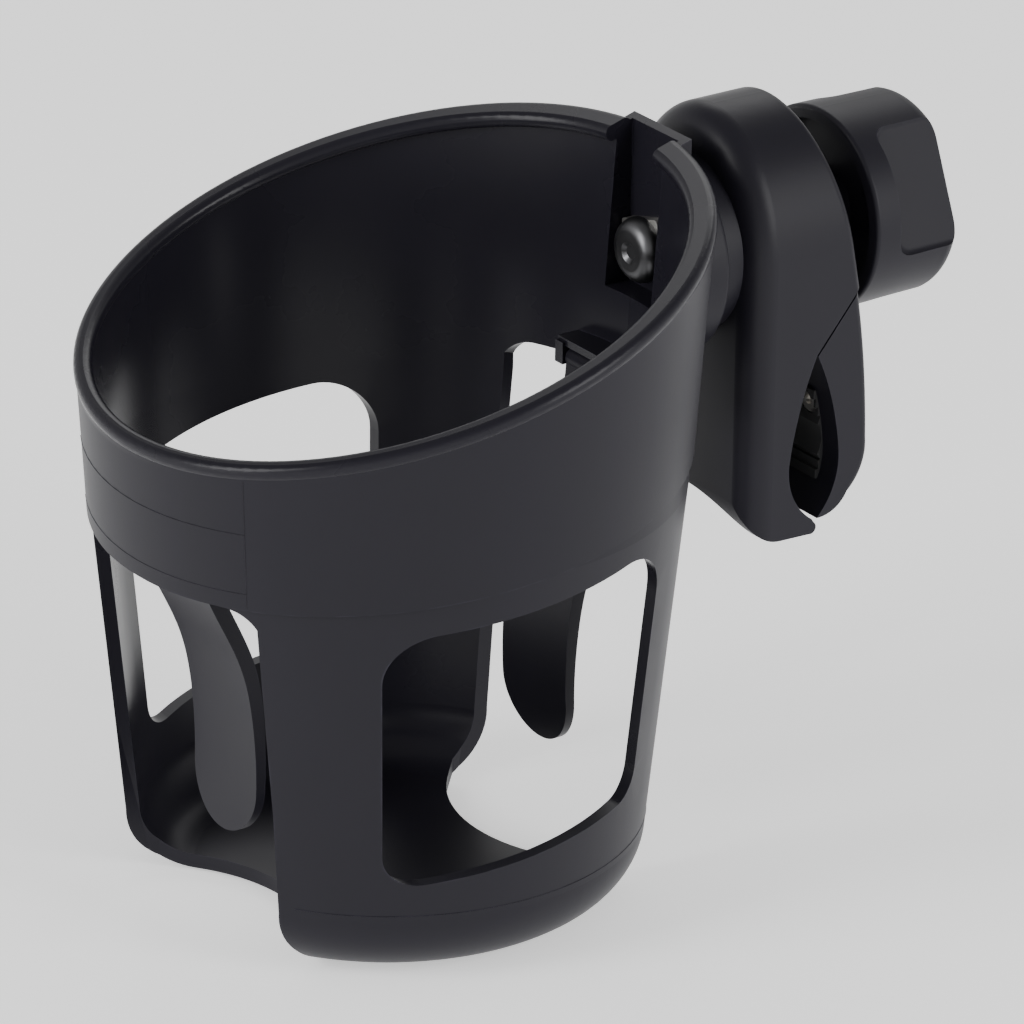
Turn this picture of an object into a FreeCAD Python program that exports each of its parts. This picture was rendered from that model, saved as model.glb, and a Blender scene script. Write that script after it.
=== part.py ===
import FreeCAD, Part
import math
import os

# Cup holder that clamps to a bar. Millimetres, +Z up. The origin is the centre of the jaws' bar
# seat; the bar runs along Y, and the clamp bolt and the knob lie along X above it.

V = FreeCAD.Vector
X_AXIS, Y_AXIS, Z_AXIS = V(1, 0, 0), V(0, 1, 0), V(0, 0, 1)

# --- cup, in its own frame: cup axis on Z, z = 0 where the band meets the lower wall ---
CUP_X, CUP_Z = -68.0, 7.0            # the cup's own origin in the part's frame
WALL = 2.1
BAND_R, BAND_TOP_R = 46.0, 49.2      # outer radius at the seam and 50 mm above it
LOWER_R, BASE_R = 45.6, 40.1         # lower wall at the seam and where the base starts to round
BASE_Z, BASE_ROUND = -67.4, 10.8
FLOOR = 2.3
RIM_Z, RIM_SLANT = 29.6, 0.304       # the rim's plane rises towards the clamp
SEAM_SLANT = 0.134
LIP_PROUD, LIP_INNER_R = 0.3, 44.5   # beyond the band's face, and inside radius
OPENING_ANGLE = 31.1                 # half angle of the two openings on the clamp's axis
SLOT_TOP_Z, CLAMP_OPENING_TOP_Z = -6.0, 5.5
FLOOR_EDGES = {-1: 18.5, 1: 17.3}    # the floor's edge at its middle, handle side and clamp side
FLOOR_EDGE_R = 27.0
WINDOW_TOP = (-5.05, 0.1335)         # height on the axis and slope towards the clamp
WINDOW_FOOT = (-47.9, 0.1245)
WINDOW_ANGLES = (34.5, 30.5)         # away from the clamp and towards it

# --- pocket for the bolt's square plate, and the round boss behind it ---
POCKET_HALF, POCKET_WALL = 6.0, 1.4
POCKET_BACK, POCKET_FOOT = 49.0, 18.3
BOSS_R, BOSS_FACE = 17.2, 51.2
BOLT_Z = 32.7                        # bolt axis above the bar

# --- bent grip fingers ---
FINGER_PIVOT = (40.6, 6.5)           # distance from the cup axis and height, cup frame
FINGER_HALF = 8.5
FINGER_BEAD_R = 1.7
TRUNNION_R, RUNNING_FIT = 1.2, 0.05

# --- clamp ---
BODY_X0, SEAM_TOP = -12.5, (8.3, 26.2)   # cup side, and the parting line's upper end
BODY_HALF, BODY_RISE = 17.5, 21.3    # half width, and the oval top's height over the bolt
BODY_BACK_TOP = 2.0                  # the knob's side leans in to this x at the top
FOOT_ARCH_R, FOOT_ARCH_TILT = 40.0, 25.6   # shallow arch under the foot's cup side
CAVITY_X0, CAVITY_R, CAVITY_HALF = -9.0, 15.3, 14.0
PIVOT = (1.5, 41.2)                  # jaw hinge, x and z
PIN_R, PIN_BOSS_R = 1.75, 4.2
ARM_HALF, ARM_X0, ARM_X1 = 8.0, -1.5, 2.5
RIDGE_R = 3.0
JAW_SWING = 16.0
SEAT_R = 4.5                         # smallest bar, on the jaw pads
PAD_HALF, PAD_BACK, PAD_Z = 13.4, 7.0, (-6.6, 8.4)
PAD_SCREW_Y, PAD_SCREW_Z = 10.6, 5.8

# --- bolt, spring and knob ---
BOLT_R, BOLT_END = 3.0, 24.0
HEAD_R = 5.2
PLATE_HALF, PLATE_T, PLATE_TURN = 4.7, 1.9, -15.0   # the plate rests a little turned in its pocket
STOP_X, STOP_T = 22.4, 0.9
BUSH_R, SWIVEL_GAP = 4.4, 0.15
WASHER_X, WASHER_T, WASHER_R = 4.55, 1.2, 6.4
HUB_R = 6.0
KNOB_X0, KNOB_X1, KNOB_R = 12.0, 29.0, 16.4
KNOB_END_R = 16.2
SKIRT_WALL, SKIRT_DEPTH = 2.2, 2.6
INSERT_X0, INSERT_X1, INSERT_FLATS = 13.0, 19.8, 10.0
END_RECESS_R, CAP_X = 6.0, 27.2

ARM_LENGTH = PIVOT[1] - BOLT_Z
KNOB_TRAVEL = ARM_LENGTH * math.sin(math.radians(JAW_SWING))


# ---------------------------------------------------------------- helpers

def wire(start, *steps):
    """Closed wire; a step is a point for a line, or (middle, end) for an arc."""
    edges, here = [], start
    for step in steps:
        if isinstance(step, tuple):
            middle, there = step
            edges.append(Part.Arc(here, middle, there).toShape())
        else:
            there = step
            edges.append(Part.makeLine(here, there))
        here = there
    if (here - start).Length > 1e-6:
        edges.append(Part.makeLine(here, start))
    return Part.Wire(edges)


def in_xz(points, y=0.0):
    """Outline steps given as (x, z) pairs, or a pair of pairs for an arc."""
    def place(p):
        return V(p[0], y, p[1])
    return [tuple(place(q) for q in p) if isinstance(p[0], tuple) else place(p) for p in points]


def along_y(points, half):
    """Solid of an XZ outline, from y = -half to y = half."""
    return Part.Face(wire(*in_xz(points, -half))).extrude(V(0, 2 * half, 0))


def along_x(points, x0, x1):
    """Solid of a YZ outline, given as (y, z) pairs, from x0 to x1."""
    return Part.Face(wire(*[V(x0, y, z) for y, z in points])).extrude(V(x1 - x0, 0, 0))


def spun(points):
    """Solid of an XZ outline turned about Z."""
    return Part.Face(wire(*in_xz(points))).revolve(V(0, 0, 0), Z_AXIS, 360)


def box(x0, x1, y0, y1, z0, z1):
    return Part.makeBox(x1 - x0, y1 - y0, z1 - z0, V(x0, y0, z0))


def rod_x(radius, x0, x1, z=BOLT_Z, y=0.0):
    return Part.makeCylinder(radius, x1 - x0, V(x0, y, z), X_AXIS)


def rod_y(radius, y0, y1, x, z):
    return Part.makeCylinder(radius, y1 - y0, V(x, y0, z), Y_AXIS)


def cone_x(r0, r1, x0, x1):
    return Part.makeCone(r0, r1, x1 - x0, V(x0, 0, BOLT_Z), X_AXIS)


def above(z, slant):
    """Everything above the plane that is at z on the axis and rises along +X."""
    slab = Part.makeBox(300, 300, 150, V(-150, -150, 0))
    slab.rotate(V(0, 0, 0), Y_AXIS, -math.degrees(math.atan(slant)))
    slab.translate(V(0, 0, z))
    return slab


def rounded_prism(points, radius, direction, keep=None):
    """Prism of straight-sided points along direction, its long edges rounded."""
    solid = Part.Face(Part.makePolygon(points + points[:1])).extrude(direction)
    unit = V(direction).normalize()

    def is_long(edge):
        ends = edge.Vertexes
        return abs((ends[1].Point - ends[0].Point).normalize().dot(unit)) > 0.999

    long_edges = [e for e in solid.Edges if is_long(e) and (keep is None or keep(e.CenterOfMass))]
    return solid.makeFillet(radius, long_edges)


def fillet_where(solid, radius, test):
    """Round the edges whose midpoints pass the test."""
    edges = [e for e in solid.Edges if test(e)]
    return solid.makeFillet(radius, edges) if edges else solid


def in_cup(shape):
    """Move a shape from the cup's own frame to the part's frame."""
    shape.translate(V(CUP_X, 0, CUP_Z))
    return shape


def polar(radius, degrees):
    return radius * math.cos(math.radians(degrees)), radius * math.sin(math.radians(degrees))


# ---------------------------------------------------------------- cup

def base_z_top():
    return BASE_Z + BASE_ROUND


def band_radius(z):
    """Outer radius of the band."""
    return BAND_R + (BAND_TOP_R - BAND_R) * z / 50.0


def base_profile(inset, floor):
    """Half section of the base up to the seam, taken in by inset and starting on the floor."""
    low = base_z_top()
    r_low = BASE_R - inset
    z_floor = BASE_Z + floor
    round_r = low - z_floor
    mid = (r_low - round_r * (1 - math.sqrt(0.5)), low - round_r * math.sqrt(0.5))
    return [(0, z_floor), (r_low - round_r, z_floor), (mid, (r_low, low)), (LOWER_R - inset, 0)]


def band():
    """The upper band, between the sloping seam and the sloping rim."""
    z0, z1 = -12.0, 50.0
    ring = spun([(0, z0), (band_radius(z0), z0), (band_radius(z1), z1), (0, z1)])
    return ring.cut(above(RIM_Z, RIM_SLANT)).common(above(0.0, SEAM_SLANT))


def rim_lip():
    """Rounded lip that follows the sloping rim."""
    outer_low, outer_high = band_radius(0) + LIP_PROUD, band_radius(60) + LIP_PROUD
    ring = spun([(LIP_INNER_R, 0), (outer_low, 0), (outer_high, 60), (LIP_INNER_R, 60)])
    lip = ring.common(above(RIM_Z - 1.5, RIM_SLANT)).cut(above(RIM_Z + 1.2, RIM_SLANT))
    return lip.makeFillet(1.15, lip.Edges)


def end_opening(side, z_top):
    """Cutter for the opening at x = side * R, from z_top down to the floor's curved edge."""
    y_top = polar(LOWER_R, OPENING_ANGLE)[1]
    y_low = polar(BASE_R, OPENING_ANGLE)[1]
    x_far = side * 70.0
    walls = [V(x_far, -y_top, z_top), V(x_far, y_top, z_top),
             V(x_far, y_low, BASE_Z - 5), V(x_far, -y_low, BASE_Z - 5)]
    tall = rounded_prism(walls, 5.0, V(-side * 60, 0, 0), lambda c: c.z > z_top - 5)
    x_edge = FLOOR_EDGES[side]
    x_end = x_edge + FLOOR_EDGE_R - math.sqrt(FLOOR_EDGE_R ** 2 - y_low ** 2)
    plan = wire(V(side * x_end, -y_low, -80), (V(side * x_edge, 0, -80), V(side * x_end, y_low, -80)),
                V(x_far, y_low + 8, -80), V(x_far, -y_low - 8, -80))
    return tall.common(Part.Face(plan).extrude(V(0, 0, 100)))


def side_window(side):
    """Cutter for the rounded window at y = side * R, its head and foot parallel to the seam."""
    corners = []
    for (z_axis, slope), radius in ((WINDOW_FOOT, BASE_R + 1), (WINDOW_TOP, LOWER_R)):
        row = []
        for angle in (90 + WINDOW_ANGLES[0], 90 - WINDOW_ANGLES[1]):
            x = polar(radius, angle)[0]
            row.append(V(x, side * 60, z_axis + slope * x))
        corners += row if not corners else row[::-1]
    cutter = rounded_prism(corners, 8.0, V(0, -side * 40, 0), lambda c: c.z > -25)
    return fillet_where(cutter, 5.0, lambda e: e.BoundBox.YLength > 39 and e.CenterOfMass.z < -25)


def finger_bracket(side):
    """Two ears and a rib inside the band that hold a finger's head; side -1 or 1."""
    x, z = FINGER_PIVOT
    ears = []
    for y0 in (-FINGER_HALF - 2.2, FINGER_HALF + 0.2):
        ear = box(x - 2.1, x + 6, y0, y0 + 2.0, z - 2.2, z + 2.6)
        ears.append(ear.cut(rod_y(TRUNNION_R + RUNNING_FIT, -20, 20, x, z)))
    rib = box(x - 1.6, x + 6, -FINGER_HALF - 2.2, FINGER_HALF + 2.2, z + 2.0, z + 3.2)
    bracket = rib.fuse(ears).cut(spun([(44.8, -5), (60, -5), (60, 40), (44.8, 40)]))
    if side < 0:
        bracket.rotate(V(0, 0, 0), Z_AXIS, 180)
    return bracket


def cup_basket():
    """Cup, band, lip, bolt pocket and boss as one moulding."""
    inner = spun(base_profile(WALL, FLOOR) + [(band_radius(60) - WALL, 60), (0, 60)])
    outer = spun(base_profile(0.0, 0.0) + [(LOWER_R, 8), (0, 8)])
    bolt_z = BOLT_Z - CUP_Z
    pocket_wall = POCKET_HALF + POCKET_WALL
    pocket_box = box(30, POCKET_BACK + POCKET_WALL, -pocket_wall, pocket_wall, POCKET_FOOT - 2.2, 60)
    pocket_box = pocket_box.cut(above(RIM_Z + 0.4, RIM_SLANT))
    boss = rod_x(BOSS_R, 25, BOSS_FACE, z=bolt_z)
    boss = fillet_where(boss, 0.8, lambda e: e.CenterOfMass.x > BOSS_FACE - 0.1)
    body = outer.fuse([band(), pocket_box, boss]).cut(inner)
    body = body.fuse([rim_lip()] + [finger_bracket(side) for side in (-1, 1)])
    pocket = box(25, POCKET_BACK, -POCKET_HALF, POCKET_HALF, POCKET_FOOT, 80)
    bolt_hole = rod_x(BOLT_R + 0.25, 40, 60, z=bolt_z)
    openings = [end_opening(-1, SLOT_TOP_Z), end_opening(1, CLAMP_OPENING_TOP_Z)]
    windows = [side_window(-1), side_window(1)]
    return in_cup(body.cut([pocket, bolt_hole] + openings + windows).removeSplitter())


def finger(side):
    """Blade that bends in from the band and ends in a round tip; it turns on two stubs."""
    x, z = FINGER_PIVOT
    inner_face = [V(x - 1.5, 0, z), V(x - 1.9, 0, z - 4), V(34.4, 0, -11), V(29.6, 0, -22),
                  V(27.9, 0, -33), V(27.9, 0, -44), V(28.9, 0, -52.0)]
    outer_face = [V(x + 1.5, 0, z), V(x + 1.0, 0, z - 4), V(37.2, 0, -11), V(32.1, 0, -22),
                  V(29.9, 0, -33), V(29.5, 0, -44), V(30.2, 0, -52.0)]
    edges = []
    for points in (inner_face, outer_face):
        spline = Part.BSplineCurve()
        spline.interpolate(points)
        edges.append(spline.toShape())
    edges.append(Part.makeLine(inner_face[0], outer_face[0]))
    edges.append(Part.makeLine(inner_face[-1], outer_face[-1]))
    section = Part.Face(Part.Wire(Part.__sortEdges__(edges)))
    section.translate(V(0, -FINGER_HALF, 0))
    blade = section.extrude(V(0, 2 * FINGER_HALF, 0))
    tip = -52.0 + FINGER_HALF
    arch = wire(V(20, -FINGER_HALF, z + 5), V(20, -FINGER_HALF, tip),
                (V(20, 0, tip - FINGER_HALF), V(20, FINGER_HALF, tip)), V(20, FINGER_HALF, z + 5))
    blade = blade.common(Part.Face(arch).extrude(V(40, 0, 0)))
    bead = rod_y(FINGER_BEAD_R, -FINGER_HALF, FINGER_HALF, x, z)
    stubs = rod_y(TRUNNION_R, -FINGER_HALF - 2.0, FINGER_HALF + 2.0, x, z)
    shape = blade.fuse([bead, stubs]).removeSplitter()
    if side < 0:
        shape.rotate(V(0, 0, 0), Z_AXIS, 180)
    return in_cup(shape)


# ---------------------------------------------------------------- clamp body and jaw

def opening_left():
    """Fixed leg's side of the teardrop opening, from its apex to its lip."""
    return [(0.0, 16.3), ((-3.3, 6.6), (-4.8, -1.2)), ((-3.7, -7.3), (-0.6, -11.5))]


def opening_right():
    """Jaw's side of the teardrop opening, from its tip up to the apex."""
    return [(0.9, -11.2), ((3.8, -6.9), (4.8, -0.6)), ((3.4, 7.4), (0.25, 16.1))]


def body_block():
    """Outer form: oval top over the bolt, straight sides, rounded foot with the lip."""
    r = BODY_HALF
    oval = Part.Ellipse(V(BODY_X0, 0, BOLT_Z + BODY_RISE), V(BODY_X0, -r, BOLT_Z), V(BODY_X0, 0, BOLT_Z))
    arch = oval.toShape().common(box(BODY_X0 - 1, BODY_X0 + 1, -30, 30, BOLT_Z, 80)).Edges
    ends = [V(BODY_X0, r, BOLT_Z), V(BODY_X0, r, -30), V(BODY_X0, -r, -30), V(BODY_X0, -r, BOLT_Z)]
    sides = [Part.makeLine(a, b) for a, b in zip(ends, ends[1:])]
    outline = Part.Wire(Part.__sortEdges__(arch + sides))
    block = Part.Face(outline).extrude(V(14 - BODY_X0, 0, 0))
    block = fillet_where(block, 4.5, lambda e: e.BoundBox.XMax < BODY_X0 + 0.01
                         and e.CenterOfMass.z > -29)
    side = along_y([(BODY_X0, 60), (BODY_X0, -7.0), ((-10.7, -11.4), (-6.2, -13.4)), (-0.5, -13.6),
                    ((0.75, -12.9), (0.4, -11.8)), (-0.1, -11.1),
                    ((-3.4, -7.5), (-4.8, -1.2)), ((-3.3, 6.6), (0.0, 16.3)),
                    SEAM_TOP, ((5.6, 40.0), (BODY_BACK_TOP, 56.0)), (BODY_BACK_TOP, 60)], 40)
    arch = Part.makeCylinder(FOOT_ARCH_R, 40, V(4, 0, -13.5 - FOOT_ARCH_R), V(-1, 0, 0))
    arch.rotate(V(0, 0, -13.5), Y_AXIS, FOOT_ARCH_TILT)
    block = block.common(side)
    block = fillet_where(block, 1.2, lambda e: e.BoundBox.XMin > BODY_BACK_TOP - 1 and e.BoundBox.ZMin > 26
                         and e.Length > 20)
    return block.cut(arch)


def clamp_body():
    """Fixed half: housing around the jaw's arm, and the leg beside the cup."""
    body = body_block()
    room = wire(V(CAVITY_X0, -CAVITY_HALF, 10), V(CAVITY_X0, CAVITY_HALF, 10),
                V(CAVITY_X0, CAVITY_HALF, BOLT_Z + 6),
                (V(CAVITY_X0, 0, BOLT_Z + CAVITY_R), V(CAVITY_X0, -CAVITY_HALF, BOLT_Z + 6)))
    room = Part.Face(room).extrude(V(40, 0, 0))
    floor = along_y([(CAVITY_X0 - 1, 22.6), (-0.8, 17.3), (0.0, 16.0), (20, 16.0), (20, 60),
                     (CAVITY_X0 - 1, 60)], 30)
    body = body.cut(room.common(floor))
    ring = rod_x(5.0, CAVITY_X0 - 1, CAVITY_X0 + 2.2)
    ears = rod_y(PIN_BOSS_R, -13.5, 13.5, *PIVOT).cut(rod_y(9, -ARM_HALF - 0.4, ARM_HALF + 0.4, *PIVOT))
    ears = ears.common(Part.Face(wire(V(-20, -15, 30), V(-20, 15, 30), V(-20, 15, BOLT_Z),
                       (V(-20, 0, BOLT_Z + 15.6), V(-20, -15, BOLT_Z)))).extrude(V(60, 0, 0)))
    body = body.fuse([ring, ears])
    cuts = [rod_x(BUSH_R, BODY_X0 - 1, CAVITY_X0 + 3),
            rod_y(PIN_R, -13.6, 40, *PIVOT), rod_y(2.6, 14.2, 40, *PIVOT)]
    cuts.append(pad_blank(-1, 0.0))
    cuts += pad_screw_holes(-1)
    return body.cut(cuts).removeSplitter()


def jaw_side():
    """Full-width lower part of the jaw, under the sloping parting line."""
    outer = [(8.05, 25.45), ((9.9, 12.0), (10.6, 0.2)), ((9.2, -6.0), (5.4, -9.6)),
             ((3.2, -10.9), (0.9, -11.2))]
    return along_y([opening_right()[-1][1]] + outer + opening_right()[1:], BODY_HALF)


def turned_about_pivot(shape, degrees):
    """Copy turned about the jaw hinge; a positive angle opens the jaw."""
    copy = shape.copy()
    copy.rotate(V(PIVOT[0], 0, PIVOT[1]), Y_AXIS, -degrees)
    return copy


def swing_jaw():
    """Moving half: lower leg, slotted arm with a ridge under the washer, and hinge barrel."""
    leg = jaw_side()
    leg = fillet_where(leg, 1.2, lambda e: abs(abs(e.CenterOfMass.y) - BODY_HALF) < 0.01
                       and e.CenterOfMass.x > 6.2)
    leg = leg.cut(box(2.5, 12, -CAVITY_HALF + 0.2, CAVITY_HALF - 0.2, 23.2, 30))
    root = along_y([(ARM_X0, 27), (ARM_X0, 20.4), (0.6, 17.4), (3.0, 12), (7.0, 20), (7.0, 23.2),
                    (ARM_X1, 23.2), (ARM_X1, 27)], CAVITY_HALF - 0.4)
    arm = box(ARM_X0, ARM_X1, -ARM_HALF, ARM_HALF, 22, PIVOT[1])
    barrel = rod_y(3.6, -ARM_HALF, ARM_HALF, *PIVOT)
    ridge = rod_y(RIDGE_R, -ARM_HALF, ARM_HALF, PIVOT[0], BOLT_Z)
    jaw = leg.fuse([root, arm, barrel, ridge])
    cuts = [rod_y(PIN_R + RUNNING_FIT, -30, 30, *PIVOT),
            box(ARM_X0 - 3, 8, -BOLT_R - 0.6, BOLT_R + 0.6, BOLT_Z - 5, BOLT_Z + 4.2),
            turned_about_pivot(rod_x(KNOB_R + 0.7, KNOB_X0 + KNOB_TRAVEL - 0.5, 60), -JAW_SWING),
            turned_about_pivot(rod_x(HUB_R + 0.6, WASHER_X + KNOB_TRAVEL + 0.8, 60), -JAW_SWING)]
    cuts.append(pad_blank(1, 0.0))
    cuts += pad_screw_holes(1)
    return jaw.cut(cuts).removeSplitter()


# ---------------------------------------------------------------- pads and screws

def pad_front(z):
    """Depth of a pad's smooth front at height z, just inside the legs' outline."""
    return 4.75 - 0.022 * (z + 1.2) ** 2 if z > -1.2 else 4.75 - 0.045 * (z + 1.2) ** 2


def pad_blank(side, grow):
    """Block a pad fills, from its flat back to past the opening's outline."""
    z0, z1 = PAD_Z
    return box(*sorted((side * 1.0, side * (PAD_BACK + grow))), -PAD_HALF - grow, PAD_HALF + grow,
               z0 - grow, z1 + grow)


def grip_pad(side):
    """Rubber jaw pad: flat back, teeth above and below a round seat for the bar."""
    z0, z1 = PAD_Z
    seat_z = SEAT_R * math.sin(math.radians(34))
    seat_x = SEAT_R * math.cos(math.radians(34))
    pitch, depth = 1.5, 0.55
    points = [(PAD_BACK, z0), (pad_front(z0), z0)]
    count_low = int((-seat_z - 0.3 - z0) / pitch)
    for i in range(count_low):
        z = z0 + i * pitch
        points += [(pad_front(z + pitch) - depth, z + pitch), (pad_front(z + pitch), z + pitch)]
    points += [(seat_x, -seat_z), ((SEAT_R, 0), (seat_x, seat_z))]
    count_top = int((z1 - seat_z - 0.3) / pitch)
    start = z1 - count_top * pitch
    points.append((pad_front(start), start))
    for i in range(count_top):
        z = start + i * pitch
        points += [(pad_front(z) - depth, z + 0.01), (pad_front(z + pitch), z + pitch)]
    points.append((PAD_BACK, z1))
    outline = [tuple((side * a, b) for a, b in p) if isinstance(p[0], tuple) else (side * p[0], p[1])
               for p in points]
    pad = along_y(outline, PAD_HALF)
    holes = [rod_x(r, *sorted((side * x0, side * x1)), z=PAD_SCREW_Z, y=y)
             for y in (-PAD_SCREW_Y, PAD_SCREW_Y) for r, x0, x1 in ((1.1, 0, 9), (2.25, 0, 5.4))]
    return pad.cut(holes)


def pad_screw_holes(side):
    return [rod_x(1.0, *sorted((side * (PAD_BACK - 1), side * (PAD_BACK + 2.2))), z=PAD_SCREW_Z, y=y)
            for y in (-PAD_SCREW_Y, PAD_SCREW_Y)]


def pad_screws(side):
    """Two pan screws with a dimple, holding a pad in its leg."""
    screws = []
    for y in (-PAD_SCREW_Y, PAD_SCREW_Y):
        head = rod_x(2.1, *sorted((side * 3.9, side * 5.4)), z=PAD_SCREW_Z, y=y)
        head = fillet_where(head, 0.5, lambda e: abs(e.CenterOfMass.x - side * 3.9) < 0.01)
        shank = rod_x(1.0, *sorted((side * 5.0, side * (PAD_BACK + 2.0))), z=PAD_SCREW_Z, y=y)
        dimple = rod_x(0.8, *sorted((side * 3.0, side * 4.7)), z=PAD_SCREW_Z, y=y)
        screws.append(head.fuse(shank).cut(dimple))
    return Part.makeCompound(screws)


# ---------------------------------------------------------------- swivel, bolt, spring, hinge pin

def swivel_ring():
    """Friction ring between the cup's boss and the clamp, seated on the clamp."""
    x0, x1 = CUP_X + BOSS_FACE + SWIVEL_GAP, BODY_X0
    return rod_x(14.5, x0, x1).cut(rod_x(5.2, x0 - 1, x1 + 1))


def swivel_bush():
    """Flanged bush pressed into the clamp's wall, in which the bolt turns."""
    flange = rod_x(5.0, BODY_X0 - 1.0, BODY_X0)
    sleeve = rod_x(BUSH_R, BODY_X0 - 1.0, CAVITY_X0 + 2.2)
    return sleeve.fuse(flange).cut(rod_x(BOLT_R + RUNNING_FIT, -40, 40)).removeSplitter()


def plate_face():
    return CUP_X + POCKET_BACK


def anchor_plate():
    """Square plate in the cup's pocket that keeps the bolt from turning."""
    x1, half = plate_face(), PLATE_HALF
    plate = box(x1 - PLATE_T, x1, -half, half, BOLT_Z - half, BOLT_Z + half)
    plate = fillet_where(plate, 0.6, lambda e: abs(e.CenterOfMass.y) > half - 0.1
                         and abs(abs(e.CenterOfMass.z - BOLT_Z) - half) < 0.01)
    plate = plate.cut(rod_x(BOLT_R + 0.02, -40, 0))
    plate.rotate(V(0, 0, BOLT_Z), X_AXIS, PLATE_TURN)
    return plate


def clamp_bolt():
    """Bolt with a domed head and a dimple, threaded to its far end."""
    x1 = plate_face() - PLATE_T
    head = rod_x(HEAD_R, x1 - 2.8, x1)
    head = fillet_where(head, 2.2, lambda e: e.CenterOfMass.x < x1 - 2.7)
    dimple = cone_x(1.9, 1.1, x1 - 2.9, x1 - 2.3)
    shank = rod_x(BOLT_R, x1 - 0.5, BOLT_END)
    groove = rod_x(5, STOP_X, STOP_X + STOP_T).cut(rod_x(2.4, STOP_X - 1, STOP_X + 2))
    return head.fuse(shank).cut([dimple, groove]).removeSplitter()


def stop_ring():
    """Clip ring at the bolt's end that stops the knob from coming off."""
    return rod_x(4.6, STOP_X, STOP_X + STOP_T).cut(rod_x(2.4, STOP_X - 1, STOP_X + 2))


def jaw_spring():
    """Compression spring round the bolt that opens the jaw."""
    coil_r, wire_r, gap = 6.2, 0.55, 0.12
    x0, x1 = CAVITY_X0 + wire_r + gap, ARM_X0 - wire_r - gap
    turns = 3
    helix = Part.makeHelix((x1 - x0) / turns, x1 - x0, coil_r)
    ring = Part.Wire([Part.makeCircle(wire_r, V(coil_r, 0, 0), V(0, 1, 0.12))])
    coil = Part.Wire(helix.Edges).makePipeShell([ring], True, True)
    coil.rotate(V(0, 0, 0), Y_AXIS, 90)
    coil.translate(V(x0, 0, BOLT_Z))
    return coil


def hinge_pin():
    """Steel pin on which the jaw swings."""
    return fillet_where(rod_y(PIN_R, -13.4, 14.0, *PIVOT), 0.3, lambda e: True)


def pin_plug():
    """Plastic plug that closes the pin's hole on the far side."""
    return rod_y(2.6, 14.2, 15.15, *PIVOT)


# ---------------------------------------------------------------- knob

def thrust_washer():
    """Steel washer between the knob's hub and the jaw's ridge."""
    return rod_x(WASHER_R, WASHER_X, WASHER_X + WASHER_T).cut(rod_x(BOLT_R + 0.3, 0, 20))


def knob_scallop(angle):
    """Rounded recess that flattens the knob's side between two lobes."""
    x0, flat, half = KNOB_X0 + 4.6, 12.2, 10.6
    cutter = box(x0, KNOB_X1 + 10, -half, half, flat, flat + 20)
    cutter = fillet_where(cutter, 3.0, lambda e: abs(e.CenterOfMass.x - x0) < 0.1
                          and abs(e.CenterOfMass.y) > half - 0.1)
    cutter = fillet_where(cutter, 1.4, lambda e: e.CenterOfMass.z < flat + 0.01
                          and e.CenterOfMass.x < KNOB_X1)
    cutter.translate(V(0, 0, BOLT_Z))
    cutter.rotate(V(0, 0, BOLT_Z), X_AXIS, angle)
    return cutter


def knob():
    """Three-lobed knob with a hollow skirt, a hub, an insert pocket and an end recess."""
    body = cone_x(KNOB_R, KNOB_END_R, KNOB_X0, KNOB_X1)
    body = fillet_where(body, 2.6, lambda e: e.CenterOfMass.x > KNOB_X1 - 0.1)
    body = fillet_where(body, 0.7, lambda e: abs(e.CenterOfMass.x - KNOB_X0) < 0.1)
    body = body.cut([knob_scallop(67 + 120 * i) for i in range(3)])
    skirt = rod_x(KNOB_R - SKIRT_WALL, KNOB_X0 - 1, KNOB_X0 + SKIRT_DEPTH)
    hub = rod_x(HUB_R, WASHER_X + WASHER_T, KNOB_X0 + SKIRT_DEPTH + 1)
    body = body.cut(skirt).fuse(hub)
    cuts = [rod_x(BOLT_R + 0.3, 0, 40), rod_x(END_RECESS_R, INSERT_X1, KNOB_X1 + 1),
            hexagon(INSERT_FLATS, INSERT_X0, INSERT_X1)]
    return body.cut(cuts).removeSplitter()


def hexagon(flats, x0, x1):
    corner = flats / math.sqrt(3)
    points = [polar(corner, 60 * i + 30) for i in range(6)]
    return along_x([(y, BOLT_Z + z) for y, z in points], x0, x1)


def knob_insert():
    """Brass hexagon insert that carries the knob's thread."""
    return hexagon(INSERT_FLATS, INSERT_X0, INSERT_X1).cut(rod_x(BOLT_R + RUNNING_FIT, 0, 40))


def knob_cap():
    """Round cap that closes the knob's end recess."""
    cap = rod_x(END_RECESS_R, CAP_X, KNOB_X1 - 0.2)
    return fillet_where(cap, 0.4, lambda e: e.CenterOfMass.x > KNOB_X1 - 0.3)


# ---------------------------------------------------------------- output

PIECES = {
    "cup_basket": cup_basket,
    "grip_finger_handle_side": lambda: finger(-1),
    "grip_finger_clamp_side": lambda: finger(1),
    "anchor_plate": anchor_plate,
    "clamp_bolt": clamp_bolt,
    "bolt_stop_ring": stop_ring,
    "clamp_body": clamp_body,
    "swivel_ring": swivel_ring,
    "swivel_bush": swivel_bush,
    "hinge_pin": hinge_pin,
    "hinge_pin_plug": pin_plug,
    "fixed_jaw_pad": lambda: grip_pad(-1),
    "fixed_pad_screws": lambda: pad_screws(-1),
    "jaw_spring": jaw_spring,
    "swing_jaw": swing_jaw,
    "swing_jaw_pad": lambda: grip_pad(1),
    "swing_pad_screws": lambda: pad_screws(1),
    "thrust_washer": thrust_washer,
    "knob": knob,
    "knob_insert": knob_insert,
    "knob_cap": knob_cap,
}

os.makedirs("parts", exist_ok=True)
for name, build in PIECES.items():
    build().exportStep("parts/" + name + ".step")
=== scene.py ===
import math

import bmesh
import bpy
from bpy.props import FloatProperty, FloatVectorProperty, PointerProperty
from bpy.types import Operator, Panel, PropertyGroup
from mathutils import Matrix, Vector


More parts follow.
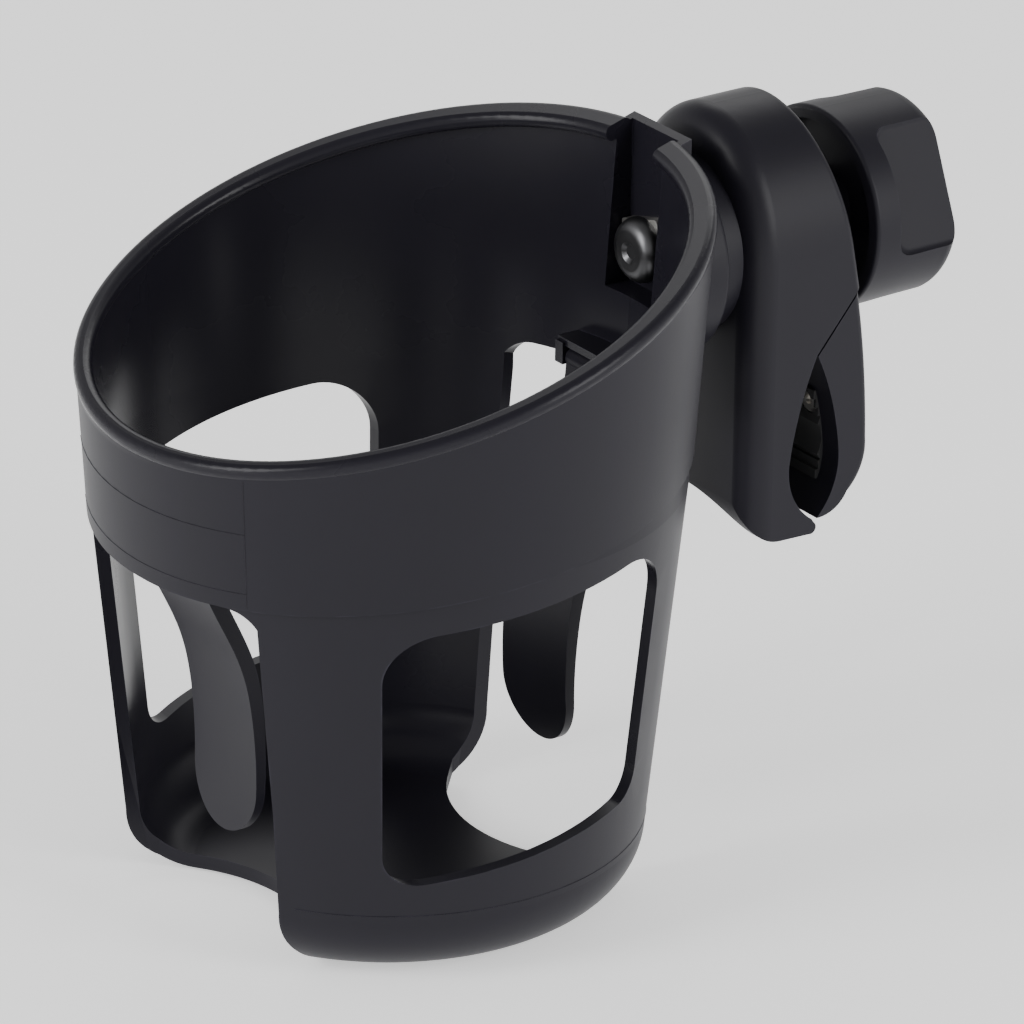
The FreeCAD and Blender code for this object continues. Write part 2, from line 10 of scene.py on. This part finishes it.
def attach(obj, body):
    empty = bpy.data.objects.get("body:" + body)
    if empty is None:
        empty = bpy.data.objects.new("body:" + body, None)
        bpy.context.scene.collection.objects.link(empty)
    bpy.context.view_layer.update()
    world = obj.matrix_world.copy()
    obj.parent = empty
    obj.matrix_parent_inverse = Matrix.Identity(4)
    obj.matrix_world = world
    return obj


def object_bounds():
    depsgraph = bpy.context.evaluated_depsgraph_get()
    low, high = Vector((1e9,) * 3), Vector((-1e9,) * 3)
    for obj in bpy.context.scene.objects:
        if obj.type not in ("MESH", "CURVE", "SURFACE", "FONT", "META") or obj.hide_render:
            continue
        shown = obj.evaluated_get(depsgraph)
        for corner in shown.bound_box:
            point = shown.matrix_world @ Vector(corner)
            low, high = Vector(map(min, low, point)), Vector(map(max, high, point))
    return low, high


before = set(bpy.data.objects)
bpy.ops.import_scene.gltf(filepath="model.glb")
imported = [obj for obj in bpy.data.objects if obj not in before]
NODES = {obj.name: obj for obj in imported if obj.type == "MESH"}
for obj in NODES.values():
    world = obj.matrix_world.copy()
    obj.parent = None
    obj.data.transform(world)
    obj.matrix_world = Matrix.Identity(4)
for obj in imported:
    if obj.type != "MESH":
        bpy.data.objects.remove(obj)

bl_info = {
    "name": "Clamp-on cup holder",
    "version": (1, 0, 0),
    "blender": (4, 5, 0),
    "location": "View3D > Sidebar > Cup holder",
    "description": "Finishes, moulding lines and stage for a cup holder that clamps to a bar",
    "category": "Object",
}

CAD_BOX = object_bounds()

# nodes by the finish they carry
MOULDED = ["clamp_body", "swing_jaw", "knob", "knob_cap", "hinge_pin_plug",
           "grip_finger_handle_side", "grip_finger_clamp_side"]
PADS = ["fixed_jaw_pad", "swing_jaw_pad"]
SLIDERS = ["swivel_ring", "swivel_bush"]
ZINC = ["anchor_plate", "bolt_stop_ring", "hinge_pin", "thrust_washer",
        "fixed_pad_screws", "swing_pad_screws"]


# ---------------------------------------------------------------- settings

class FinishSettings(PropertyGroup):
    """Colours and roughness of the finishes."""

    plastic_colour: FloatVectorProperty(
        name="Plastic colour", description="Base colour of the moulded black plastic",
        subtype="COLOR", size=3, min=0, max=1, default=(0.0112, 0.0104, 0.0150))
    plastic_roughness: FloatProperty(
        name="Plastic roughness", description="Roughness of the open, fine-textured faces",
        min=0.05, max=1, default=0.42)
    rubber_colour: FloatVectorProperty(
        name="Rubber colour", description="Base colour of the jaw pads",
        subtype="COLOR", size=3, min=0, max=1, default=(0.014, 0.014, 0.015))
    zinc_colour: FloatVectorProperty(
        name="Zinc colour", description="Base colour of the plated steel pieces",
        subtype="COLOR", size=3, min=0, max=1, default=(0.80, 0.78, 0.74))
    bolt_colour: FloatVectorProperty(
        name="Bolt colour", description="Base colour of the darker plated bolt",
        subtype="COLOR", size=3, min=0, max=1, default=(0.13, 0.13, 0.135))
    brass_colour: FloatVectorProperty(
        name="Brass colour", description="Base colour of the knob's threaded insert",
        subtype="COLOR", size=3, min=0, max=1, default=(0.62, 0.42, 0.16))


class LineSettings(PropertyGroup):
    """Size of the moulding lines on the cup."""

    width: FloatProperty(
        name="Width", description="Width of a line", subtype="DISTANCE", unit="LENGTH",
        min=0.00005, max=0.001, default=0.00036)
    height: FloatProperty(
        name="Height", description="How far a line stands out of the face",
        subtype="DISTANCE", unit="LENGTH", min=0.00001, max=0.0005, default=0.00007)


class StageSettings(PropertyGroup):
    """Camera and lights."""

    azimuth: FloatProperty(
        name="Azimuth", description="Turn of the view about the cup's axis", subtype="ANGLE",
        default=math.radians(-35.43))
    elevation: FloatProperty(
        name="Elevation", description="Height of the view above level", subtype="ANGLE",
        default=math.radians(23.48))
    roll: FloatProperty(
        name="Roll", description="Tilt of the camera about its line of sight", subtype="ANGLE",
        default=math.radians(0.82))
    distance: FloatProperty(
        name="Distance", description="From the camera to the point it looks at",
        subtype="DISTANCE", unit="LENGTH", default=1.1157)
    horizon: FloatProperty(
        name="Horizon light", description="Strength of the surrounding light at eye level",
        min=0, max=5, default=1.0)
    overhead: FloatProperty(
        name="Overhead light", description="Strength of the surrounding light from above",
        min=0, max=5, default=0.35)
    floor_glow: FloatProperty(
        name="Floor glow", description="Light given off by the pale floor",
        min=0, max=2, default=0.62)
    lens: FloatProperty(
        name="Lens", description="Focal length in millimetres on a 36 mm sensor", default=255.2)
    target: FloatVectorProperty(
        name="Target", description="Point at the middle of the view", subtype="XYZ", size=3,
        default=(-0.0452, -0.0005, -0.0053))


# ---------------------------------------------------------------- node helpers

def new_group(name, outputs, inputs):
    """Shader node group with the given (name, socket type, default) sockets."""
    group = bpy.data.node_groups.new(name, "ShaderNodeTree")
    for label, kind, default in inputs:
        socket = group.interface.new_socket(name=label, in_out="INPUT", socket_type=kind)
        if default is not None:
            socket.default_value = default
    for label, kind in outputs:
        group.interface.new_socket(name=label, in_out="OUTPUT", socket_type=kind)
    return group, group.nodes.new("NodeGroupInput"), group.nodes.new("NodeGroupOutput")


def math_node(tree, operation, a, b=None, clamp=False):
    """Output of one sum; each side is a number or another node's output."""
    node = tree.nodes.new("ShaderNodeMath")
    node.operation = operation
    node.use_clamp = clamp
    for socket, value in zip(node.inputs, (a, b)):
        if value is None:
            continue
        if isinstance(value, (int, float)):
            socket.default_value = value
        else:
            tree.links.new(value, socket)
    return node.outputs[0]


def remap(tree, value, low, high, to_low, to_high):
    """Value carried from one range to another."""
    node = tree.nodes.new("ShaderNodeMapRange")
    tree.links.new(value, node.inputs["Value"])
    limits = {"From Min": low, "From Max": high, "To Min": to_low, "To Max": to_high}
    for label, number in limits.items():
        node.inputs[label].default_value = number
    return node.outputs["Result"]


def edge_mask_group():
    """Mask of worn convex edges, broken up by noise."""
    group, entry, leave = new_group(
        "edge_wear", [("Mask", "NodeSocketFloat")],
        [("Width", "NodeSocketFloat", 0.0008), ("Break Up", "NodeSocketFloat", 180.0)])
    geometry = group.nodes.new("ShaderNodeNewGeometry")
    bevel = group.nodes.new("ShaderNodeBevel")
    bevel.samples = 6
    group.links.new(entry.outputs["Width"], bevel.inputs["Radius"])
    dot = group.nodes.new("ShaderNodeVectorMath")
    dot.operation = "DOT_PRODUCT"
    group.links.new(bevel.outputs["Normal"], dot.inputs[0])
    group.links.new(geometry.outputs["Normal"], dot.inputs[1])
    edge = remap(group, dot.outputs["Value"], 0.99, 0.80, 0.0, 1.0)
    coords = group.nodes.new("ShaderNodeTexCoord")
    texture = group.nodes.new("ShaderNodeTexNoise")
    texture.inputs["Detail"].default_value = 4.0
    group.links.new(coords.outputs["Object"], texture.inputs["Vector"])
    group.links.new(entry.outputs["Break Up"], texture.inputs["Scale"])
    patches = remap(group, texture.outputs["Fac"], 0.45, 0.62, 0.0, 1.0)
    group.links.new(math_node(group, "MULTIPLY", edge, patches, clamp=True), leave.inputs["Mask"])
    return group


def texture_group():
    """Fine spark-eroded mould texture and slow flow unevenness, as a height and a mask."""
    group, entry, leave = new_group(
        "mould_texture", [("Height", "NodeSocketFloat"), ("Cloud", "NodeSocketFloat")],
        [("Grain Scale", "NodeSocketFloat", 2600.0), ("Cloud Scale", "NodeSocketFloat", 28.0)])
    coords = group.nodes.new("ShaderNodeTexCoord")
    grain = group.nodes.new("ShaderNodeTexNoise")
    grain.inputs["Detail"].default_value = 3.0
    grain.inputs["Roughness"].default_value = 0.62
    group.links.new(coords.outputs["Object"], grain.inputs["Vector"])
    group.links.new(entry.outputs["Grain Scale"], grain.inputs["Scale"])
    cloud = group.nodes.new("ShaderNodeTexNoise")
    cloud.inputs["Detail"].default_value = 5.0
    group.links.new(coords.outputs["Object"], cloud.inputs["Vector"])
    group.links.new(entry.outputs["Cloud Scale"], cloud.inputs["Scale"])
    group.links.new(grain.outputs["Fac"], leave.inputs["Height"])
    group.links.new(cloud.outputs["Fac"], leave.inputs["Cloud"])
    return group


def inner_wall_group():
    """Mask of the cup's inside faces and of its polished lip, from the cup's axis and rim plane."""
    group, entry, leave = new_group(
        "inner_wall", [("Mask", "NodeSocketFloat")],
        [("Axis X", "NodeSocketFloat", -0.068), ("Rim Height", "NodeSocketFloat", 0.0352),
         ("Rim Slant", "NodeSocketFloat", 0.304)])
    coords = group.nodes.new("ShaderNodeTexCoord")
    place = group.nodes.new("ShaderNodeSeparateXYZ")
    group.links.new(coords.outputs["Object"], place.inputs[0])
    geometry = group.nodes.new("ShaderNodeNewGeometry")
    facing = group.nodes.new("ShaderNodeSeparateXYZ")
    group.links.new(geometry.outputs["Normal"], facing.inputs[0])
    out_x = math_node(group, "SUBTRACT", place.outputs["X"], entry.outputs["Axis X"])
    dot_x = math_node(group, "MULTIPLY", out_x, facing.outputs["X"])
    dot_y = math_node(group, "MULTIPLY", place.outputs["Y"], facing.outputs["Y"])
    outward = math_node(group, "ADD", dot_x, dot_y)
    inside = remap(group, outward, 0.004, -0.004, 0.0, 1.0)
    rise = math_node(group, "MULTIPLY", out_x, entry.outputs["Rim Slant"])
    over_rim = math_node(group, "SUBTRACT", math_node(group, "SUBTRACT", place.outputs["Z"], rise),
                         entry.outputs["Rim Height"])
    lip = remap(group, over_rim, -0.0004, 0.0003, 0.0, 1.0)
    group.links.new(math_node(group, "MAXIMUM", inside, lip, clamp=True), leave.inputs["Mask"])
    return group


def place_group(tree, group, **values):
    """Put a shared group in a material, with its inputs set by name."""
    node = tree.nodes.new("ShaderNodeGroup")
    node.node_tree = group
    for label, value in values.items():
        node.inputs[label.replace("_", " ").title()].default_value = value
    return node


def new_material(name):
    material = bpy.data.materials.new(name)
    material.use_nodes = True
    return material, material.node_tree, material.node_tree.nodes["Principled BSDF"]


def bump(tree, height, strength, distance):
    """Normal output of a height field."""
    node = tree.nodes.new("ShaderNodeBump")
    node.inputs["Strength"].default_value = strength
    node.inputs["Distance"].default_value = distance
    tree.links.new(height, node.inputs["Height"])
    return node.outputs["Normal"]


def mix_colour(tree, factor, first, second):
    """Colour between two others; each is a plain colour or another node's output."""
    node = tree.nodes.new("ShaderNodeMix")
    node.data_type = "RGBA"
    tree.links.new(factor, node.inputs["Factor"])
    for socket, value in ((node.inputs[6], first), (node.inputs[7], second)):
        if hasattr(value, "is_linked"):
            tree.links.new(value, socket)
        else:
            socket.default_value = (*value, 1.0)
    return node.outputs[2]


# ---------------------------------------------------------------- materials

PLASTIC_SPECULAR = 0.185             # black plastic under a broad soft light
POLISH = 0.14                        # how much smoother the cup is inside
POLISHED_GRAIN = 0.25                # share of the mould's grain left on the polished faces
CLOUD = (0.3, 0.7)                   # part of the cloud noise that is spread over a finish
WEAR = {"width": 0.0005, "break_up": 220.0}
PLASTIC_GRAIN = (0.18, 0.00004)      # bump strength and depth
RUBBER_GRAIN = (0.3, 0.00006)
METAL_GRAIN = (0.2, 0.00004)
MAKERS = {"texture": texture_group, "edge": edge_mask_group, "inner_wall": inner_wall_group}
GROUPS = {}


def shared_group(name):
    """The named shader group, made the first time it is asked for."""
    if name not in GROUPS:
        GROUPS[name] = MAKERS[name]()
    return GROUPS[name]


def cloudy_colour(tree, texture, base, low, high):
    """Base colour that drifts between a darker and a lighter share of itself."""
    return mix_colour(tree, texture.outputs["Cloud"], base * low, base * high)


def cloudy_roughness(tree, texture, shader, low, high):
    rough = remap(tree, texture.outputs["Cloud"], *CLOUD, low, high)
    tree.links.new(rough, shader.inputs["Roughness"])


def black_plastic(name, settings):
    """Plastic's colour, with paler worn edges; its roughness and grain are left to the caller."""
    material, tree, shader = new_material(name)
    texture = place_group(tree, shared_group("texture"))
    wear = place_group(tree, shared_group("edge"), **WEAR)
    base = Vector(settings.plastic_colour)
    colour = cloudy_colour(tree, texture, base, 0.85, 1.2)
    colour = mix_colour(tree, wear.outputs["Mask"], colour, base * 2.0)
    tree.links.new(colour, shader.inputs["Base Color"])
    shader.inputs["Specular IOR Level"].default_value = PLASTIC_SPECULAR
    return material, tree, shader, texture


def moulded_plastic(settings):
    """Fine-textured plastic of the clamp, the knob and the fingers."""
    material, tree, shader, texture = black_plastic("moulded_black_plastic", settings)
    middle = settings.plastic_roughness
    cloudy_roughness(tree, texture, shader, middle - 0.05, middle + 0.05)
    normal = bump(tree, texture.outputs["Height"], *PLASTIC_GRAIN)
    tree.links.new(normal, shader.inputs["Normal"])
    return material


def cup_plastic(settings):
    """The same plastic, textured outside and polished inside and on the lip."""
    material, tree, shader, texture = black_plastic("cup_black_plastic", settings)
    polish = place_group(tree, shared_group("inner_wall")).outputs["Mask"]
    cloud = remap(tree, texture.outputs["Cloud"], *CLOUD, -0.04, 0.04)
    level = remap(tree, polish, 0.0, 1.0, settings.plastic_roughness,
                  settings.plastic_roughness - POLISH)
    tree.links.new(math_node(tree, "ADD", level, cloud), shader.inputs["Roughness"])
    grain = remap(tree, polish, 0.0, 1.0, 1.0, POLISHED_GRAIN)
    height = math_node(tree, "MULTIPLY", texture.outputs["Height"], grain)
    tree.links.new(bump(tree, height, *PLASTIC_GRAIN), shader.inputs["Normal"])
    return material


def pad_rubber(settings):
    """Dull rubber of the jaw pads."""
    material, tree, shader = new_material("pad_rubber")
    texture = place_group(tree, shared_group("texture"), grain_scale=1400.0)
    colour = cloudy_colour(tree, texture, Vector(settings.rubber_colour), 0.8, 1.5)
    tree.links.new(colour, shader.inputs["Base Color"])
    cloudy_roughness(tree, texture, shader, 0.62, 0.78)
    normal = bump(tree, texture.outputs["Height"], *RUBBER_GRAIN)
    tree.links.new(normal, shader.inputs["Normal"])
    return material


def plated_steel(name, plating_colour):
    """Plated steel in the colour of its plating."""
    material, tree, shader = new_material(name)
    texture = place_group(tree, shared_group("texture"), grain_scale=900.0, cloud_scale=160.0)
    colour = cloudy_colour(tree, texture, Vector(plating_colour), 0.72, 1.0)
    tree.links.new(colour, shader.inputs["Base Color"])
    cloudy_roughness(tree, texture, shader, 0.30, 0.44)
    normal = bump(tree, texture.outputs["Height"], *METAL_GRAIN)
    tree.links.new(normal, shader.inputs["Normal"])
    shader.inputs["Metallic"].default_value = 1.0
    return material


def turned_brass(settings):
    """Bare brass of the knob's insert."""
    material, tree, shader = new_material("insert_brass")
    texture = place_group(tree, shared_group("texture"), grain_scale=700.0)
    colour = cloudy_colour(tree, texture, Vector(settings.brass_colour), 0.75, 1.0)
    tree.links.new(colour, shader.inputs["Base Color"])
    cloudy_roughness(tree, texture, shader, 0.22, 0.35)
    shader.inputs["Metallic"].default_value = 1.0
    return material


def dress(names, material):
    """Give CAD nodes their finish."""
    for name in names:
        node = NODES[name]
        node.data.materials.clear()
        node.data.materials.append(material)


# ---------------------------------------------------------------- operators

class CUPHOLDER_OT_plastic(Operator):
    """Give the moulded pieces their black plastic"""
    bl_idname = "cup_holder.plastic"
    bl_label = "Moulded plastic"

    def execute(self, context):
        settings = context.scene.cup_holder_finish
        dress(MOULDED + SLIDERS, moulded_plastic(settings))
        dress(["cup_basket"], cup_plastic(settings))
        return {"FINISHED"}


class CUPHOLDER_OT_pads(Operator):
    """Give the jaw pads their rubber"""
    bl_idname = "cup_holder.pads"
    bl_label = "Jaw pads"

    def execute(self, context):
        dress(PADS, pad_rubber(context.scene.cup_holder_finish))
        return {"FINISHED"}


class CUPHOLDER_OT_metal(Operator):
    """Give the bolt, plate, washer, screws, pin, spring and insert their metals"""
    bl_idname = "cup_holder.metal"
    bl_label = "Metal pieces"

    def execute(self, context):
        settings = context.scene.cup_holder_finish
        dress(ZINC + ["jaw_spring"], plated_steel("zinc_plated_steel", settings.zinc_colour))
        dress(["clamp_bolt"], plated_steel("dark_plated_steel", settings.bolt_colour))
        dress(["knob_insert"], turned_brass(settings))
        return {"FINISHED"}


# The cup's outside: a flared band over a lower wall that narrows to the base. Radii are at the
# sloping seam between them, where height is zero on the cup's axis.
AXIS_X, SEAM_Z, SEAM_SLANT = -0.068, 0.007, 0.134
BAND_RADIUS, BAND_FLARE = 0.046, 0.064
WALL_RADIUS, WALL_FLARE = 0.0456, 0.0971
LINE_ROOT = 0.00015                  # how far a line is rooted in the wall
PARTING_ANGLE = math.radians(209.0)  # about the cup's axis, at the handle slot's edge
PARTING_RISE = (0.0004, 0.0212)      # its ends over the seam
SLOT_LINES = (("band_middle_line", 0.0125), ("band_foot_line", 0.0028))   # name, rise over the seam
BASE_RINGS = (("base_ring_front", 270.0), ("base_ring_back", 90.0))       # name, middle in degrees
BASE_RING_HEIGHT, BASE_RING_HALF = -0.0555, 54.0


def on_cup(angle, height, radius, flare):
    """Point on the cup's outside at a height over the seam's middle, and its outward normal."""
    reach = radius + flare * height
    point = Vector((AXIS_X + reach * math.cos(angle), reach * math.sin(angle), SEAM_Z + height))
    return point, Vector((math.cos(angle), math.sin(angle), -flare)).normalized()


def band_line(angle, rise):
    """Point on the band at a rise measured from the sloping seam."""
    slope = SEAM_SLANT * BAND_RADIUS * math.cos(angle)
    return on_cup(angle, slope + rise, BAND_RADIUS, BAND_FLARE)


def spread(first, last, steps):
    """Evenly spaced values, both ends among them."""
    return [first + (last - first) * i / steps for i in range(steps + 1)]


def moulded_line(name, path, settings, material):
    """Thin closed ridge of triangular section along a path of points and normals."""
    bm = bmesh.new()
    section = None
    for i, (point, out) in enumerate(path):
        along = path[min(i + 1, len(path) - 1)][0] - path[max(i - 1, 0)][0]
        side = out.cross(along).normalized() * settings.width / 2
        corners = (point - side - out * LINE_ROOT, point + side - out * LINE_ROOT,
                   point + out * settings.height)
        if section is None:
            section = bm.faces.new([bm.verts.new(corner) for corner in corners])
            continue
        made = bmesh.ops.extrude_face_region(bm, geom=[section])["geom"]
        section = next(item for item in made if isinstance(item, bmesh.types.BMFace))
        for vert, corner in zip(section.verts, corners):
            vert.co = corner
    bmesh.ops.recalc_face_normals(bm, faces=bm.faces)
    mesh = bpy.data.meshes.new(name)
    bm.to_mesh(mesh)
    bm.free()
    mesh.materials.append(material)
    piece = bpy.data.objects.new(name, mesh)
    bpy.context.scene.collection.objects.link(piece)
    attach(piece, "cup")


class CUPHOLDER_OT_lines(Operator):
    """Add the mould's parting line, the band's lines over the handle slot and the base's ring"""
    bl_idname = "cup_holder.lines"
    bl_label = "Moulding lines"

    def execute(self, context):
        settings = context.scene.cup_holder_lines
        material = NODES["cup_basket"].data.materials[0]
        moulded_line("parting_line",
                     [band_line(PARTING_ANGLE, rise) for rise in spread(*PARTING_RISE, 8)],
                     settings, material)
        for name, rise in SLOT_LINES:
            angles = spread(PARTING_ANGLE, math.tau - PARTING_ANGLE, 24)
            moulded_line(name, [band_line(angle, rise) for angle in angles], settings, material)
        half = math.radians(BASE_RING_HALF)
        for name, turn in BASE_RINGS:
            middle = math.radians(turn)
            path = [on_cup(angle, BASE_RING_HEIGHT, WALL_RADIUS, WALL_FLARE)
                    for angle in spread(middle - half, middle + half, 48)]
            moulded_line(name, path, settings, material)
        return {"FINISHED"}


def look_along(settings):
    """Camera matrix from azimuth, elevation, roll and distance about the target."""
    a, e, r = settings.azimuth, settings.elevation, settings.roll
    back = Vector((math.sin(a) * math.cos(e), -math.cos(a) * math.cos(e), math.sin(e)))
    right = Vector((math.cos(a), math.sin(a), 0.0))
    up = back.cross(right)
    right, up = (math.cos(r) * right + math.sin(r) * up, math.cos(r) * up - math.sin(r) * right)
    place = Vector(settings.target) + back * settings.distance
    turn = Matrix((right, up, back)).transposed().to_4x4()
    return Matrix.Translation(place) @ turn


def area_light(name, place, aim, size, power):
    """Oblong lamp that faces a point."""
    data = bpy.data.lights.new(name, "AREA")
    data.shape = "RECTANGLE"
    data.size, data.size_y = size
    data.energy = power
    light = bpy.data.objects.new(name, data)
    light.location = place
    light.rotation_euler = (Vector(aim) - Vector(place)).to_track_quat("-Z", "Y").to_euler()
    bpy.context.scene.collection.objects.link(light)


SOFT_BOXES = (                       # name, degrees round from the camera, height, size, power
    ("left_box", -62.0, 0.42, (0.55, 0.9), 13.0),
    ("right_box", 58.0, 0.36, (0.55, 0.9), 10.5),
    ("back_box", 172.0, 0.75, (1.1, 0.5), 4.0),
)


FLOOR_SIZE, FLOOR_DROP = 4.0, 0.0005   # half width, and how far it lies under the cup
BOX_DISTANCE = 1.3
DIMMING = (0.15, 0.75)               # height of the sky where the light starts and stops dimming


def dim_overhead(tree, horizon, overhead):
    """World light that is bright round the horizon and dim overhead."""
    coords = tree.nodes.new("ShaderNodeTexCoord")
    split = tree.nodes.new("ShaderNodeSeparateXYZ")
    tree.links.new(coords.outputs["Generated"], split.inputs[0])
    strength = remap(tree, split.outputs["Z"], *DIMMING, horizon, overhead)
    background = tree.nodes["Background"]
    background.inputs["Color"].default_value = (1, 1, 1, 1)
    tree.links.new(strength, background.inputs["Strength"])


class CUPHOLDER_OT_stage(Operator):
    """Make the floor, the lights and the camera"""
    bl_idname = "cup_holder.stage"
    bl_label = "Stage"

    def execute(self, context):
        settings = context.scene.cup_holder_stage
        low = Vector(CAD_BOX[0])
        mesh = bpy.data.meshes.new("floor")
        bm = bmesh.new()
        bmesh.ops.create_grid(bm, x_segments=1, y_segments=1, size=FLOOR_SIZE,
                              matrix=Matrix.Translation((0, 0, low.z - FLOOR_DROP)))
        bm.to_mesh(mesh)
        bm.free()
        floor = bpy.data.objects.new("floor", mesh)
        context.scene.collection.objects.link(floor)
        material, tree, shader = new_material("pale_floor")
        shader.inputs["Base Color"].default_value = (0.92, 0.92, 0.92, 1)
        shader.inputs["Roughness"].default_value = 0.9
        shader.inputs["Emission Color"].default_value = (1, 1, 1, 1)
        shader.inputs["Emission Strength"].default_value = settings.floor_glow
        mesh.materials.append(material)
        world = bpy.data.worlds.new("studio")
        world.use_nodes = True
        dim_overhead(world.node_tree, settings.horizon, settings.overhead)
        context.scene.world = world
        middle = Vector(settings.target)
        for name, turn, height, size, power in SOFT_BOXES:
            angle = settings.azimuth - math.pi / 2 + math.radians(turn)
            place = middle + Vector((math.cos(angle), math.sin(angle), height)) * BOX_DISTANCE
            area_light(name, place, middle, size, power)
        data = bpy.data.cameras.new("camera")
        data.lens = settings.lens
        data.sensor_width = 36.0
        data.clip_end = 20.0
        camera = bpy.data.objects.new("camera", data)
        camera.matrix_world = look_along(settings)
        context.scene.collection.objects.link(camera)
        context.scene.camera = camera
        return {"FINISHED"}


class CUPHOLDER_PT_panel(Panel):
    """Steps that finish the cup holder"""
    bl_idname = "CUPHOLDER_PT_panel"
    bl_label = "Cup holder"
    bl_space_type = "VIEW_3D"
    bl_region_type = "UI"
    bl_category = "Cup holder"

    def draw(self, context):
        for operator in OPERATORS:
            self.layout.operator(operator.bl_idname)


OPERATORS = (CUPHOLDER_OT_plastic, CUPHOLDER_OT_pads, CUPHOLDER_OT_metal, CUPHOLDER_OT_lines,
             CUPHOLDER_OT_stage)
CLASSES = (FinishSettings, LineSettings, StageSettings, *OPERATORS, CUPHOLDER_PT_panel)


def register():
    for cls in CLASSES:
        bpy.utils.register_class(cls)
    bpy.types.Scene.cup_holder_finish = PointerProperty(type=FinishSettings)
    bpy.types.Scene.cup_holder_lines = PointerProperty(type=LineSettings)
    bpy.types.Scene.cup_holder_stage = PointerProperty(type=StageSettings)


def unregister():
    del bpy.types.Scene.cup_holder_stage
    del bpy.types.Scene.cup_holder_lines
    del bpy.types.Scene.cup_holder_finish
    for cls in reversed(CLASSES):
        bpy.utils.unregister_class(cls)


def main():
    register()
    for operator in OPERATORS:
        group, name = operator.bl_idname.split(".")
        getattr(getattr(bpy.ops, group), name)()


if __name__ == "__main__":
    main()
